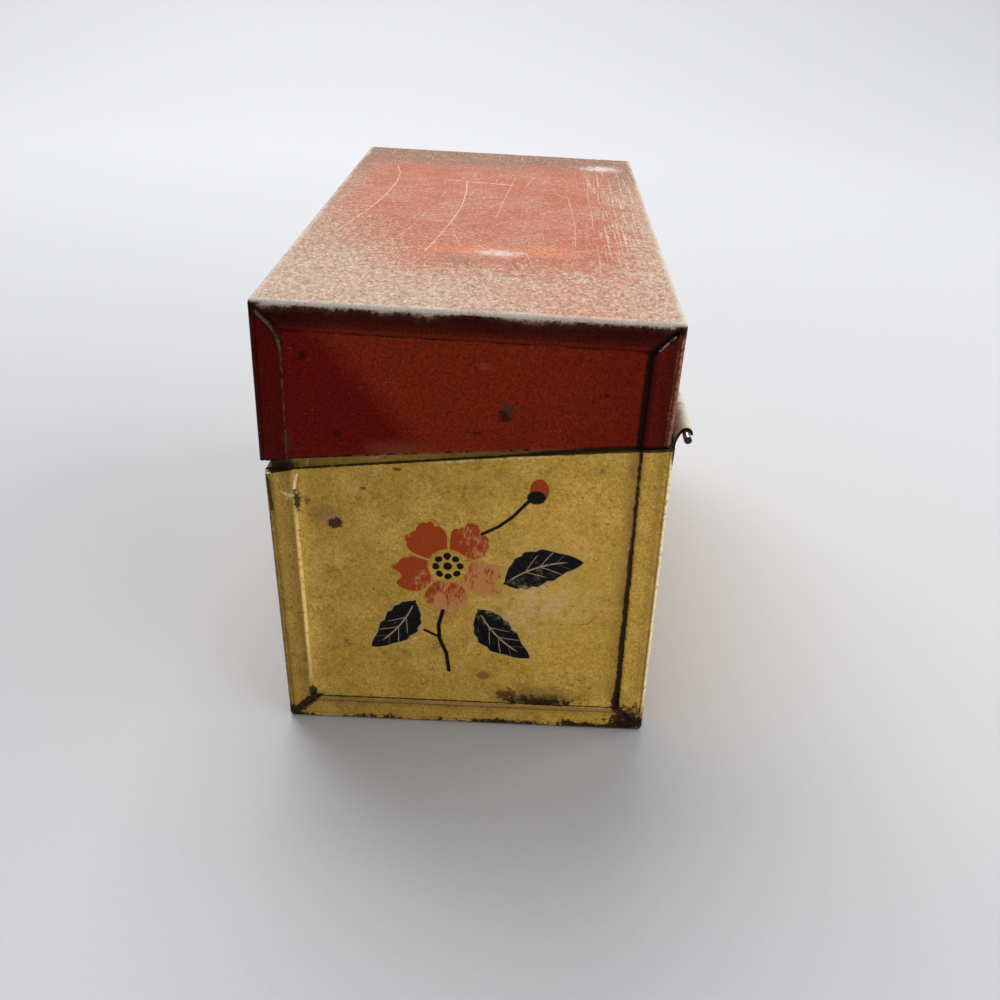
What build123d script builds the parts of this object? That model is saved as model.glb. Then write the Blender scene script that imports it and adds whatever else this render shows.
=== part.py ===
from build123d import *
import os
from math import atan2, degrees, hypot

os.makedirs("parts", exist_ok=True)

# A tinplate recipe card box with a lid hinged on a wire along its back.
# X runs from the front panel to the back panel, Y along the box and Z up.
# The origin is the middle of the underside. All sizes are in millimetres.

# The whole box
box_width = 74.0  # front panel to back panel, outside
box_length = 136.0  # end to end, outside, for 127 mm cards
box_height = 89.0  # underside to the top of the shut lid, for 76 mm cards
front_shoulder = 58.3  # height of the body's rim at the front
back_shoulder = 66.0  # height of the body's rim at the back

# Tinplate
sheet = 0.4
fold_radius = 0.9  # outside radius of a shell's folds
seam_gap = 0.03  # between sheets that are pressed together
body_flange = 6.0  # width of the body's flanges over its end panels
lid_flange = 5.3  # width of the lid's flanges over its end panels
mitre_slit = 0.35  # width of the slit between two flanges
lip_depth = 3.0  # end panel lips, turned in along the shells
lip_stop = 1.0  # lips end this far short of the rims
hem_height = 2.5  # raw edges folded back on themselves

# The lid over the body
rim_gap = 0.3  # lid rim above body rim, shut
lid_overhang = 0.4  # lid front beyond body front
lid_back_clearance = 0.3  # lid back to the body's hinge strip
lid_ajar = 1.5  # degrees that the worn lid stands open at rest

# The neck that guides the lid
neck_height = 6.5  # above the body's rim
neck_front_clearance = 0.8  # to the lid's front lips and hem
neck_end_clearance = 0.32  # to the lid's end panels
neck_swing_clearance = 3.0  # to the lower edge of the lid's back as it swings

# The hinge
pin_diameter = 1.4
pin_clearance = 0.08  # running fit of the pin in the knuckles, on the radius
pin_projection = 2.0  # beyond the right end
pin_inset = 0.5  # short of the left end
pin_chamfer = 0.15
hinge_out = 1.7  # pin centre outside the back panel
hinge_rise = 2.7  # pin centre above the back shoulder
lid_curl_start = 2.4  # above the pin centre, where the lid's back turns outwards
knuckle_count = 5  # the body has the odd ones, which include both ends
knuckle_gap = 0.4
hinge_end_inset = 0.6  # end knuckles short of the box's ends
body_curl_end = -10.0  # degrees from +X where the body's rolls end
lid_curl_end = 80.0  # degrees from +X where the lid's rolls end

# Places that follow from them
front_x = -box_width / 2
back_x = box_width / 2
end_y = box_length / 2
rim_slope = (back_shoulder - front_shoulder) / box_width
beyond = 2 * box_height  # reach of a cutting shape past what it cuts
panel_layer = sheet + seam_gap  # an end panel lies this far inside the flanges' outer face

lid_front_x = front_x - lid_overhang
lid_back_x = back_x - sheet - lid_back_clearance
lid_width = lid_back_x - lid_front_x
lid_middle_x = (lid_front_x + lid_back_x) / 2

hinge_x = back_x + hinge_out
hinge_z = back_shoulder + hinge_rise
hinge_axis = Axis((hinge_x, 0, hinge_z), (0, 1, 0))
curl_radius = pin_diameter / 2 + pin_clearance + sheet / 2  # to the middle of the sheet
hinge_length = box_length - 2 * hinge_end_inset
knuckle_pitch = (hinge_length + knuckle_gap) / knuckle_count
knuckle_length = knuckle_pitch - knuckle_gap
first_knuckle_y = (knuckle_length - hinge_length) / 2
lid_knuckles_y = [first_knuckle_y + i * knuckle_pitch for i in range(1, knuckle_count, 2)]

neck_layer = 2 * sheet + seam_gap + neck_end_clearance  # end neck inside the box's end
neck_front_x = lid_front_x + 2 * sheet + seam_gap + neck_front_clearance
lid_swing = hypot(hinge_x - lid_back_x + 2 * sheet + seam_gap, hinge_rise - rim_gap)
neck_back_x = hinge_x - lid_swing - neck_swing_clearance
neck_top_back_x = neck_back_x - neck_height  # the neck's back end slopes up at 45 degrees
hem_front_x = neck_front_x + sheet + seam_gap  # the end necks' hems meet the front neck


def rim_z(x):
    """Height of the body's rim at x."""
    return front_shoulder + rim_slope * (x - front_x)


def band(from_x, to_x, low, high):
    """A strip on XZ that follows the rim line, from low to high above it."""
    return Polygon(
        (from_x, rim_z(from_x) + low),
        (to_x, rim_z(to_x) + low),
        (to_x, rim_z(to_x) + high),
        (from_x, rim_z(from_x) + high),
        align=None,
    )


def mitre_slits(middle_x, width, corner_z, flange, upward):
    """The slits, on XZ, between a shell's flanges at its two folded corners."""
    reach = (flange + fold_radius) / 2
    for side in (-1, 1):
        with Locations((middle_x + side * (width / 2 - reach), corner_z + upward * reach)):
            Rectangle(
                hypot(flange, flange) - fold_radius, mitre_slit, rotation=-45 * side * upward
            )


def rolled_edge(line_x, turn_z, over, end_angle):
    """Sheet, on XZ, that leaves a panel at turn_z and rolls round the pin.

    over is 1 where it comes up to the pin and rolls over it, and -1 where it comes down
    and rolls under it.
    """
    reach = hinge_x - line_x
    rise = abs(hinge_z - turn_z)
    lead_radius = (reach**2 + rise**2 - curl_radius**2) / (2 * (reach - curl_radius))
    join = degrees(atan2(rise, reach - lead_radius))
    lead_centre = (line_x + lead_radius, turn_z)
    with BuildSketch() as profile:
        with BuildLine():
            Line((line_x, turn_z - over * fold_radius), (line_x, turn_z))
            CenterArc(lead_centre, lead_radius, 180, over * (join - 180))
            CenterArc((hinge_x, hinge_z), curl_radius, over * join, end_angle - over * join)
        trace(line_width=sheet)
    return profile.sketch


# The body's shell: front, bottom and back are one sheet, with flanges folded over its ends.
with BuildPart() as body_shell:
    with BuildSketch(Plane.XY):
        RectangleRounded(box_width, box_length, fold_radius)
    extrude(amount=box_height)
    fillet(body_shell.faces().sort_by(Axis.Z)[0].edges(), fold_radius)
    offset(amount=-sheet, openings=body_shell.faces().sort_by(Axis.Z)[-1])
    # The end panels show between the flanges, and the rim falls towards the front.
    with BuildSketch(Plane.XZ):
        with Locations((0, body_flange)):
            Rectangle(box_width - 2 * body_flange, beyond, align=(Align.CENTER, Align.MIN))
        band(-beyond, beyond, 0, beyond)
        mitre_slits(0, box_width, 0, body_flange, 1)
    extrude(amount=box_length, both=True, mode=Mode.SUBTRACT)
    # The front steps back into the neck, whose edge is hemmed inwards.
    with BuildSketch(Plane.XZ):
        with Locations((front_x, front_shoulder)):
            Rectangle(neck_front_x - front_x + sheet, sheet, align=(Align.MIN, Align.MAX))
        with Locations((neck_front_x, front_shoulder - sheet)):
            Rectangle(sheet, neck_height + sheet, align=Align.MIN)
        with Locations((neck_front_x, front_shoulder + neck_height)):
            Rectangle(2 * sheet, hem_height, align=(Align.MIN, Align.MAX))
    extrude(amount=end_y - neck_layer - 2 * sheet - 2 * seam_gap, both=True)
    # The back's edge rolls over the pin, and is notched where the lid's knuckles go.
    with BuildSketch(Plane.XZ):
        add(rolled_edge(back_x - sheet / 2, back_shoulder, 1, body_curl_end))
    extrude(amount=hinge_length / 2, both=True)
    for knuckle_y in lid_knuckles_y:
        with BuildSketch(Plane.XY.offset(back_shoulder)):
            with Locations((hinge_x, knuckle_y)):
                Rectangle(4 * hinge_out, knuckle_length + 2 * knuckle_gap)
        extrude(amount=beyond, mode=Mode.SUBTRACT)
body_shell.part.label = "body_shell"
export_step(body_shell.part, "parts/body_shell.step")

# The body's right end: a panel with lips along the shell and a neck above the rim.
with BuildPart() as body_end_right:
    with BuildSketch(Plane.XZ.offset(end_y - panel_layer)):
        with Locations((0, panel_layer)):
            RectangleRounded(
                box_width - 2 * panel_layer, beyond, fold_radius, align=(Align.CENTER, Align.MIN)
            )
    extrude(amount=-(sheet + lip_depth))
    fillet(body_end_right.faces().sort_by(Axis.Y)[0].edges(), fold_radius - sheet)
    with BuildSketch(Plane.XZ.offset(end_y - panel_layer - sheet)):
        with Locations((0, panel_layer + sheet)):
            RectangleRounded(
                box_width - 2 * panel_layer - 2 * sheet,
                beyond,
                fold_radius - sheet,
                align=(Align.CENTER, Align.MIN),
            )
    extrude(amount=-lip_depth, mode=Mode.SUBTRACT)
    with BuildSketch(Plane.XZ):
        band(-beyond, beyond, 0, 2 * beyond)
    extrude(amount=box_length, both=True, mode=Mode.SUBTRACT)
    with BuildSketch(Plane.XZ.offset(end_y - panel_layer - sheet)):
        band(-beyond, beyond, -lip_stop, 2 * beyond)
    extrude(amount=-lip_depth, mode=Mode.SUBTRACT)
    # The step in to the neck
    with BuildSketch(Plane.XZ.offset(end_y - panel_layer)):
        band(neck_front_x, neck_back_x, -sheet, 0)
    extrude(amount=panel_layer - neck_layer - sheet)
    # The neck, and the hem folded down behind it
    with BuildSketch(Plane.XZ.offset(end_y - neck_layer)):
        band(neck_front_x, neck_back_x, -sheet, 0)
        band(neck_front_x, neck_top_back_x, 0, neck_height)
        Polygon(
            (neck_top_back_x, rim_z(neck_top_back_x)),
            (neck_back_x, rim_z(neck_back_x)),
            (neck_top_back_x, rim_z(neck_top_back_x) + neck_height),
            align=None,
        )
    extrude(amount=-sheet)
    with BuildSketch(Plane.XZ.offset(end_y - neck_layer - sheet)):
        band(hem_front_x, neck_top_back_x, neck_height - hem_height, neck_height)
    extrude(amount=-sheet)
body_end_right.part.label = "body_end_right"
export_step(body_end_right.part, "parts/body_end_right.step")

with BuildPart() as body_end_left:
    mirror(body_end_right.part, about=Plane.XZ)
body_end_left.part.label = "body_end_left"
export_step(body_end_left.part, "parts/body_end_left.step")

# The lid's shell, shut: front, top and back are one sheet, with flanges over its ends.
with BuildPart() as lid_shell_shut:
    with BuildSketch(Plane.XY.offset(box_height)):
        with Locations((lid_middle_x, 0)):
            RectangleRounded(lid_width, box_length, fold_radius)
    extrude(amount=-box_height)
    fillet(lid_shell_shut.faces().sort_by(Axis.Z)[-1].edges(), fold_radius)
    offset(amount=-sheet, openings=lid_shell_shut.faces().sort_by(Axis.Z)[0])
    with BuildSketch(Plane.XZ):
        with Locations((lid_middle_x, box_height - lid_flange)):
            Rectangle(lid_width - 2 * lid_flange, beyond, align=(Align.CENTER, Align.MAX))
        band(-beyond, beyond, -beyond, rim_gap)
        mitre_slits(lid_middle_x, lid_width, box_height, lid_flange, -1)
    extrude(amount=box_length, both=True, mode=Mode.SUBTRACT)
    # The front's hem is folded up inside, between the end panels' lips.
    with BuildSketch(Plane.XZ):
        with Locations((lid_front_x + sheet, rim_z(lid_front_x) + rim_gap)):
            Rectangle(sheet, hem_height, align=Align.MIN)
    extrude(amount=end_y - panel_layer - sheet - lip_depth - seam_gap, both=True)
    # The back is cut away at the lid's knuckles, and its sheet rolls under the pin.
    for knuckle_y in lid_knuckles_y:
        with BuildSketch(Plane.XY):
            with Locations((lid_back_x, knuckle_y)):
                Rectangle(4 * sheet, knuckle_length + 2 * knuckle_gap)
        extrude(amount=hinge_z + lid_curl_start, mode=Mode.SUBTRACT)
        with BuildSketch(Plane.XZ.offset(-knuckle_y)):
            add(rolled_edge(lid_back_x - sheet / 2, hinge_z + lid_curl_start, -1, lid_curl_end))
        extrude(amount=knuckle_length / 2, both=True)

# The lid's right end, shut: a panel with lips along the shell.
with BuildPart() as lid_end_right_shut:
    with BuildSketch(Plane.XZ.offset(end_y - panel_layer)):
        with Locations((lid_middle_x, box_height - panel_layer)):
            RectangleRounded(
                lid_width - 2 * panel_layer, beyond, fold_radius, align=(Align.CENTER, Align.MAX)
            )
    extrude(amount=-(sheet + lip_depth))
    fillet(lid_end_right_shut.faces().sort_by(Axis.Y)[0].edges(), fold_radius - sheet)
    with BuildSketch(Plane.XZ.offset(end_y - panel_layer - sheet)):
        with Locations((lid_middle_x, box_height - panel_layer - sheet)):
            RectangleRounded(
                lid_width - 2 * panel_layer - 2 * sheet,
                beyond,
                fold_radius - sheet,
                align=(Align.CENTER, Align.MAX),
            )
    extrude(amount=-lip_depth, mode=Mode.SUBTRACT)
    with BuildSketch(Plane.XZ):
        band(-beyond, beyond, -2 * beyond, rim_gap)
    extrude(amount=box_length, both=True, mode=Mode.SUBTRACT)
    with BuildSketch(Plane.XZ.offset(end_y - panel_layer - sheet)):
        band(-beyond, beyond, -2 * beyond, rim_gap + lip_stop)
    extrude(amount=-lip_depth, mode=Mode.SUBTRACT)

# The lid's pieces at rest, turned a little open about the pin
with BuildPart() as lid_shell:
    add(lid_shell_shut.part.rotate(hinge_axis, lid_ajar))
lid_shell.part.label = "lid_shell"
export_step(lid_shell.part, "parts/lid_shell.step")

with BuildPart() as lid_end_right:
    add(lid_end_right_shut.part.rotate(hinge_axis, lid_ajar))
lid_end_right.part.label = "lid_end_right"
export_step(lid_end_right.part, "parts/lid_end_right.step")

with BuildPart() as lid_end_left:
    mirror(lid_end_right.part, about=Plane.XZ)
lid_end_left.part.label = "lid_end_left"
export_step(lid_end_left.part, "parts/lid_end_left.step")

# The hinge pin: a straight wire through all the knuckles
with BuildPart() as hinge_pin:
    with BuildSketch(Plane.XZ.offset(end_y + pin_projection)):
        with Locations((hinge_x, hinge_z)):
            Circle(pin_diameter / 2)
    extrude(amount=-(box_length + pin_projection - pin_inset))
    chamfer(hinge_pin.faces().filter_by(Axis.Y).edges(), pin_chamfer)
hinge_pin.part.label = "hinge_pin"
export_step(hinge_pin.part, "parts/hinge_pin.step")
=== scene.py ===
from math import pi, radians

import bmesh
import bpy
from mathutils import Matrix, Vector, noise


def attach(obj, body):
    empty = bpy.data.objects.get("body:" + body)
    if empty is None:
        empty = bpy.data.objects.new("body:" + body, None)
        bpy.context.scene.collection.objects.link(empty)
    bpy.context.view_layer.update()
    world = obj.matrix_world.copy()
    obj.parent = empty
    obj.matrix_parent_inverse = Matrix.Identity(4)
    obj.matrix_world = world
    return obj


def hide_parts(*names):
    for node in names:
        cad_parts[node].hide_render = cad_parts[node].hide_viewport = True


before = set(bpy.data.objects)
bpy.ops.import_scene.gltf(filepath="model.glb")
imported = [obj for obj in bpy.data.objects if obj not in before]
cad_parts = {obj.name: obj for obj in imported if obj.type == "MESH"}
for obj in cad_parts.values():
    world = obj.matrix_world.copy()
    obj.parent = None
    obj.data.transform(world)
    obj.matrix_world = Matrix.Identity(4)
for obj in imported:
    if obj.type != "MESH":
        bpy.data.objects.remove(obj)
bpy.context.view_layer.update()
mm = 0.001
hair = 1e-3  # places closer than this, in millimetres, are one

# Sizes of the folded box in millimetres, as the frame has them. X runs front to back, Y end to end.
box = {
    "front": -37,
    "back": 37,
    "end": 68,
    "top": 89,
    "frontShoulder": 58.3,
    "backShoulder": 66,
    "sheet": 0.4,
    "fold": 0.9,
    "foldSteps": 6,
    "slit": 0.35,  # gap at a mitre's inner end
    "hemRadius": 0.41,
    "hemHeight": 2.5,
    "hemSteps": 6,
    "neckHeight": 6.5,
    "rawEdge": 0.05,  # wear on a cut edge
    "rawAngle": 55,
    "smoothAngle": 40,
    "onPlane": 0.2,  # sheet this near a side's plane takes dents
    "touch": 0.3,  # an edge this near a side belongs to it
    "thinnest": 0.05,  # least share of the sheet's thickness, at a flange's raw edge
}
hinge = {
    "x": 38.7,
    "z": 68.7,
    "pitch": 27.04,
    "knuckle": 26.64,
    "gap": 0.4,
    "steps": 12,
    "endCut": 67.1,
}
rimSlope = (box["backShoulder"] - box["frontShoulder"]) / (box["back"] - box["front"])


def rimHeight(x):
    return box["frontShoulder"] + rimSlope * (x - box["front"])


def cutAt(bm, place, direction, drop=None):
    # drop is "above" or "below" the plane
    bmesh.ops.bisect_plane(
        bm,
        geom=bm.verts[:] + bm.edges[:] + bm.faces[:],
        dist=1e-4,
        plane_co=place,
        plane_no=direction,
        clear_outer=drop == "above",
        clear_inner=drop == "below",
    )


def cutAcross(bm, places):
    for y in places:
        cutAt(bm, (0, y, 0), (0, 1, 0))


def sliceEvenly(bm, axis, low, high, parts):
    direction = Vector((0, 0, 0))
    direction[axis] = 1
    for number in range(1, parts):
        cutAt(bm, direction * (low + (high - low) * number / parts), direction)


def sliceRim(bm, raised, drop=None):
    cutAt(bm, (box["front"], 0, box["frontShoulder"] + raised), (-rimSlope, 0, 1), drop)


def openBox(low, high, openSides):
    # a cube between two corners, without the sides whose normals are listed
    bm = bmesh.new()
    bmesh.ops.create_cube(bm, size=1)
    bmesh.ops.scale(bm, vec=Vector(high) - Vector(low), verts=bm.verts)
    bmesh.ops.translate(bm, vec=(Vector(low) + Vector(high)) / 2, verts=bm.verts)
    bm.normal_update()
    gone = [f for f in bm.faces if any(f.normal.dot(Vector(n)) > 0.9 for n in openSides)]
    bmesh.ops.delete(bm, geom=gone, context="FACES")
    return bm


def roundOff(bm, edges, width, segments=3, clamp=False):
    bmesh.ops.bevel(
        bm,
        geom=edges,
        offset=width,
        offset_type="OFFSET",
        segments=segments,
        profile=0.5,
        affect="EDGES",
        material=-1,
        clamp_overlap=clamp,
    )


def squareEdges(bm):
    return [e for e in bm.edges if len(e.link_faces) == 2 and e.calc_face_angle() > 1]


def dropFaces(bm, test):
    gone = [f for f in bm.faces if test(f.calc_center_median())]
    bmesh.ops.delete(bm, geom=gone, context="FACES")


def rimEdges(bm, test, **level):
    # the open edges that pass the test, brought to one x or z
    edges = [e for e in bm.edges if e.is_boundary and all(test(v.co) for v in e.verts)]
    for vert in {v for e in edges for v in e.verts}:
        for axis, value in level.items():
            setattr(vert.co, axis, value)
    return edges


def drawOut(bm, edges, by):
    made = bmesh.ops.extrude_edge_only(bm, edges=edges)["geom"]
    verts = {v for v in made if isinstance(v, bmesh.types.BMVert)}
    bmesh.ops.translate(bm, vec=by, verts=list(verts))
    return [e for e in made if isinstance(e, bmesh.types.BMEdge) and set(e.verts) <= verts]


def rollOver(bm, edges, centre, turn, steps, axis=(0, 1, 0)):
    last = bmesh.ops.spin(
        bm,
        geom=list({v for e in edges for v in e.verts}) + edges,
        cent=centre,
        axis=axis,
        angle=radians(turn),
        steps=steps,
        use_merge=False,
        use_duplicate=False,
    )["geom_last"]
    return [g for g in last if isinstance(g, bmesh.types.BMEdge)]


def rollHem(bm, edges, x, z, up):
    # turns a rim over inwards and back along the sheet
    inner = rollOver(bm, edges, (x + box["hemRadius"], 0, z), up * 180, box["hemSteps"])
    drawOut(bm, inner, (0, 0, up * (box["hemRadius"] - box["hemHeight"])))


def rollKnuckles(bm, edges, x, z, shell):
    # leads the sheet out of the back, and rolls it about the pin
    radius, turn, steps = shell["lead"]
    lead = rollOver(bm, edges, (x + radius, 0, z), turn, steps)
    rollOver(bm, lead, (hinge["x"], 0, hinge["z"]), shell["curl"], hinge["steps"])


def knuckleSides(numbers, half):
    return [number * hinge["pitch"] + side for number in numbers for side in (-half, half)]


def offKnuckle(y, numbers):
    return min(abs(y - number * hinge["pitch"]) for number in numbers)


def slitMitres(bm, low, high, up, flange):
    cornerZ = low[2] if up > 0 else high[2]
    mitres = []
    for edge in bm.edges:
        one, two = (v.co for v in edge.verts)
        onEnd = min(abs(one.y), abs(two.y)) > box["end"] - hair
        slant = min(abs(one.x - two.x), abs(one.z - two.z))
        if onEnd and slant > 1 and abs(one.z - cornerZ) < 2 * flange:
            mitres.append(edge)
    bmesh.ops.split_edges(bm, edges=mitres)
    for vert in bm.verts:
        if not vert.is_boundary or abs(vert.co.y) < box["end"] - hair:
            continue
        offX = min(vert.co.x - low[0], high[0] - vert.co.x) - flange
        offZ = abs(vert.co.z - cornerZ) - flange
        if max(abs(offX), abs(offZ)) < hair:
            if abs(vert.link_faces[0].calc_center_median().z - cornerZ) < flange:
                vert.co.x += box["slit"] * (1 if (low[0] + high[0]) / 2 > vert.co.x else -1)
            else:
                vert.co.z += box["slit"] * up


# Steps inwards over a flange's raw edge: their widths, how far each edge sinks, and the thickness left
flangeEdge = {
    "widths": (0.9, 0.55, 0.22),
    "sinks": (0.36, 0.19, 0.06, 0),
    "thins": (0.15, 0.55, 0.88, 1),
}


def wearFlangeEdges(bm):
    wall = bm.verts.layers.deform.verify()
    flats = []
    for face in bm.faces:
        if abs(face.normal.y) > 0.999 and abs(face.calc_center_median().y) > box["end"] - hair:
            flats.append(face)
    for width in flangeEdge["widths"]:
        ring = bmesh.ops.inset_region(
            bm, faces=flats, thickness=width, use_boundary=True, use_even_offset=True
        )["faces"]
        flats = list(set(flats + ring))
    verts = {v for f in flats for v in f.verts}
    level = {v: 0 for v in verts if v.is_boundary}
    for depth in range(1, len(flangeEdge["sinks"])):
        for vert in [v for v, number in level.items() if number == depth - 1]:
            for edge in vert.link_edges:
                other = edge.other_vert(vert)
                if other in verts:
                    level.setdefault(other, depth)
    for vert, number in level.items():
        vert.co.y -= flangeEdge["sinks"][number] * (1 if vert.co.y > 0 else -1)
        vert[wall][0] = flangeEdge["thins"][number]


def flangedShell(low, high, up, flange):
    # one sheet folded round three sides, with flanges turned over both ends and slit at the mitres
    bm = openBox(low, high, [(0, 0, up)])
    ends = [f for f in bm.faces if abs(f.normal.y) > 0.9]
    bmesh.ops.inset_individual(bm, faces=ends, thickness=flange, use_even_offset=True)
    bmesh.ops.delete(bm, geom=ends, context="FACES")
    roundOff(bm, squareEdges(bm), box["fold"], box["foldSteps"], True)
    slitMitres(bm, low, high, up, flange)
    wearFlangeEdges(bm)
    return bm


# The dents' two waves: how much finer than asked for, share of the depth, and which way the seed counts
dentWaves = ((1, 0.7, 1), (2.6, 0.3, -1))


def dentSheet(bm, low, high, dents, seed):
    # broad soft waves, all inwards, that fade out towards the folds
    depth, scale, fadeOver = dents
    seed = Vector(seed)
    for vert in bm.verts:
        reach = [max(0, min(vert.co[i] - low[i], high[i] - vert.co[i])) for i in range(3)]
        nearest = min(range(3), key=lambda i: reach[i])
        if reach[nearest] > box["onPlane"]:
            continue
        share = min(1, sorted(reach)[1] / fadeOver)
        wave = 0
        for finer, part, way in dentWaves:
            wave += part * noise.noise(vert.co * scale * finer + seed * way)
        inwards = 1 if vert.co[nearest] < (low[nearest] + high[nearest]) / 2 else -1
        vert.co[nearest] += inwards * share**2 * (3 - 2 * share) * depth * (0.5 + wave)


def thickenSheet(piece):
    piece.vertex_groups.new(name="wall")
    thicken = piece.modifiers.new("tinplate", "SOLIDIFY")
    thicken.thickness = box["sheet"] * mm
    thicken.offset = -1
    thicken.use_even_offset = True
    thicken.use_quality_normals = True
    thicken.vertex_group = "wall"
    thicken.thickness_vertex_group = box["thinnest"]
    thicken.material_offset = 1
    wear = piece.modifiers.new("rawEdges", "BEVEL")
    wear.width = box["rawEdge"] * mm
    wear.segments = 2
    wear.limit_method = "ANGLE"
    wear.angle_limit = radians(box["rawAngle"])
    bpy.context.view_layer.update()
    shaped = piece.evaluated_get(bpy.context.evaluated_depsgraph_get())
    finished = bpy.data.meshes.new_from_object(shaped)
    piece.modifiers.clear()
    piece.data = finished
    finished.name = piece.name


def finishPiece(bm, name, body, node, paintSlot, *paints):
    bmesh.ops.scale(bm, vec=(mm, mm, mm), verts=bm.verts)
    mesh = bpy.data.meshes.new(name)
    bm.to_mesh(mesh)
    bm.free()
    piece = bpy.data.objects.new(name, mesh)
    bpy.context.scene.collection.objects.link(piece)
    for paint in paints:
        mesh.materials.append(paint)
    if insidePaint in paints:
        thickenSheet(piece)
    piece.data.shade_smooth()
    piece.data.set_sharp_from_angle(angle=radians(box["smoothAngle"]))
    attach(piece, body)
    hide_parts(node)
    print(name, "has", len(piece.data.polygons), "faces")


paintSlots = {"body": "body_paint", "lid": "lid_paint"}


def finishSheet(bm, name, body, node, paint, outward):
    bmesh.ops.remove_doubles(bm, verts=bm.verts, dist=1e-4)
    wall = bm.verts.layers.deform.verify()
    for vert in bm.verts:
        if 0 not in vert[wall]:
            vert[wall][0] = 1
    if outward[1] > 0:  # the far end is the near one mirrored
        bmesh.ops.scale(bm, vec=(1, -1, 1), verts=bm.verts)
    if body == "lid":  # folded shut, it stands a little open
        turn = Matrix.Rotation(radians(lidShell["ajar"]), 3, "Y")
        bmesh.ops.rotate(bm, cent=(hinge["x"], 0, hinge["z"]), matrix=turn, verts=bm.verts)
    bmesh.ops.recalc_face_normals(bm, faces=bm.faces)
    outmost = max(bm.faces, key=lambda f: f.calc_center_median().dot(Vector(outward)))
    if outmost.normal.dot(Vector(outward)) < 0:
        bmesh.ops.reverse_faces(bm, faces=bm.faces)
    finishPiece(bm, name, body, node, paintSlots[body], paint, insidePaint)


# Body shell. Slices are axis, from, to and parts, dents are depth, scale and the width of their fading,
# and a knuckle's lead is radius, turn and steps.
bodyShell = {
    "flange": 5.5,
    "slices": ((0, -37, 37, 14), (1, -68, 68, 26), (2, 0, 66, 12)),
    "knuckles": (-2, 0, 2),
    "neckIn": 1.23,
    "neckEnd": 65.99,
    "neckFold": 0.25,
    "lead": (5.2, 37.6, 5),
    "curl": 152.4,
    "dents": (0.22, 0.022, 14),
    "seed": (3.1, 7.7, 1.9),
}


def makeBodyShell():
    low = (box["front"], -box["end"], 0)
    high = (box["back"], box["end"], box["top"])
    half = hinge["knuckle"] / 2
    numbers = bodyShell["knuckles"]
    neckEnd = bodyShell["neckEnd"]
    neckFrom = box["frontShoulder"] - box["touch"]
    bm = flangedShell(low, high, 1, bodyShell["flange"])
    sliceRim(bm, 0, "above")
    for row in bodyShell["slices"]:
        sliceEvenly(bm, *row)
    cutAcross(bm, [-neckEnd, neckEnd] + knuckleSides(numbers, half))
    dentSheet(bm, low, high, bodyShell["dents"], bodyShell["seed"])

    # the front's edge steps in to the neck, which is hemmed inwards
    frontRim = low[0] + box["touch"]
    shoulder = rimEdges(
        bm, lambda c: c.x < frontRim and c.z > neckFrom and abs(c.y) < neckEnd + hair, x=low[0]
    )
    rise = drawOut(bm, shoulder, (bodyShell["neckIn"], 0, 0))
    lift = box["neckHeight"] - box["hemRadius"]
    top = drawOut(bm, rise, (0, 0, lift))
    rollHem(bm, top, low[0] + bodyShell["neckIn"], box["frontShoulder"] + lift, 1)
    roundOff(bm, shoulder + rise, bodyShell["neckFold"])

    # the back's edge rolls over the pin, in three knuckles
    backRim = rimEdges(
        bm, lambda c: c.x > high[0] - box["touch"] and c.z > neckFrom, x=high[0], z=box["backShoulder"]
    )
    rolled = [e for e in backRim if all(offKnuckle(v.co.y, numbers) < half + hair for v in e.verts)]
    rollKnuckles(bm, rolled, high[0], box["backShoulder"], bodyShell)
    finishSheet(bm, "bodyShell", "body", "body_shell", bodyPaint, (0, 0, -1))


# Lid shell, folded shut and then turned open about the pin
lidShell = {
    "front": -37.4,
    "back": 36.3,
    "flange": 5.3,
    "rimGap": 0.3,
    "sheetFrom": 45,  # before its rim is cut
    "ajar": 1.5,
    "slices": ((0, -37.4, 36.3, 16), (1, -68, 68, 30), (2, 58, 89, 6)),
    "knuckles": (-1, 1),
    "hemEnd": 64.14,
    "curlStart": 71.1,
    "lead": (3.368, -68.03, 6),
    "curl": -191.97,
    "dents": (0.2, 0.02, 14),
    "seed": (8.3, 2.2, 5.1),
}


def makeLidShell():
    low = (lidShell["front"], -box["end"], lidShell["sheetFrom"])
    high = (lidShell["back"], box["end"], box["top"])
    half = hinge["knuckle"] / 2
    window = half + hinge["gap"]
    numbers = lidShell["knuckles"]
    hemEnd = lidShell["hemEnd"]
    curlStart = lidShell["curlStart"]
    bm = flangedShell(low, high, -1, lidShell["flange"])
    sliceRim(bm, lidShell["rimGap"], "below")
    for row in lidShell["slices"]:
        sliceEvenly(bm, *row)
    cutAt(bm, (0, 0, curlStart), (0, 0, 1))
    cutAcross(bm, knuckleSides(numbers, half) + knuckleSides(numbers, window) + [-hemEnd, hemEnd])
    dentSheet(bm, (low[0], low[1], 0), high, lidShell["dents"], lidShell["seed"])

    # the back is cut away at the lid's knuckles, where its sheet rolls under the pin
    back = high[0] - box["touch"]
    dropFaces(bm, lambda c: c.x > back and c.z < curlStart and offKnuckle(c.y, numbers) < window)
    tongues = rimEdges(
        bm,
        lambda c: c.x > back
        and abs(c.z - curlStart) < hair
        and offKnuckle(c.y, numbers) < half + hair,
        x=high[0],
    )
    rollKnuckles(bm, tongues, high[0], curlStart, lidShell)

    # the front's edge is hemmed inside
    rimZ = rimHeight(low[0]) + lidShell["rimGap"] + box["hemRadius"]
    front = low[0] + box["touch"]
    rim = rimEdges(
        bm, lambda c: c.x < front and c.z < rimZ and abs(c.y) < hemEnd + hair, x=low[0], z=rimZ
    )
    rollHem(bm, rim, low[0], rimZ, -1)
    finishSheet(bm, "lidShell", "lid", "lid_shell", lidPaint, (0, 0, 1))


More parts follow.
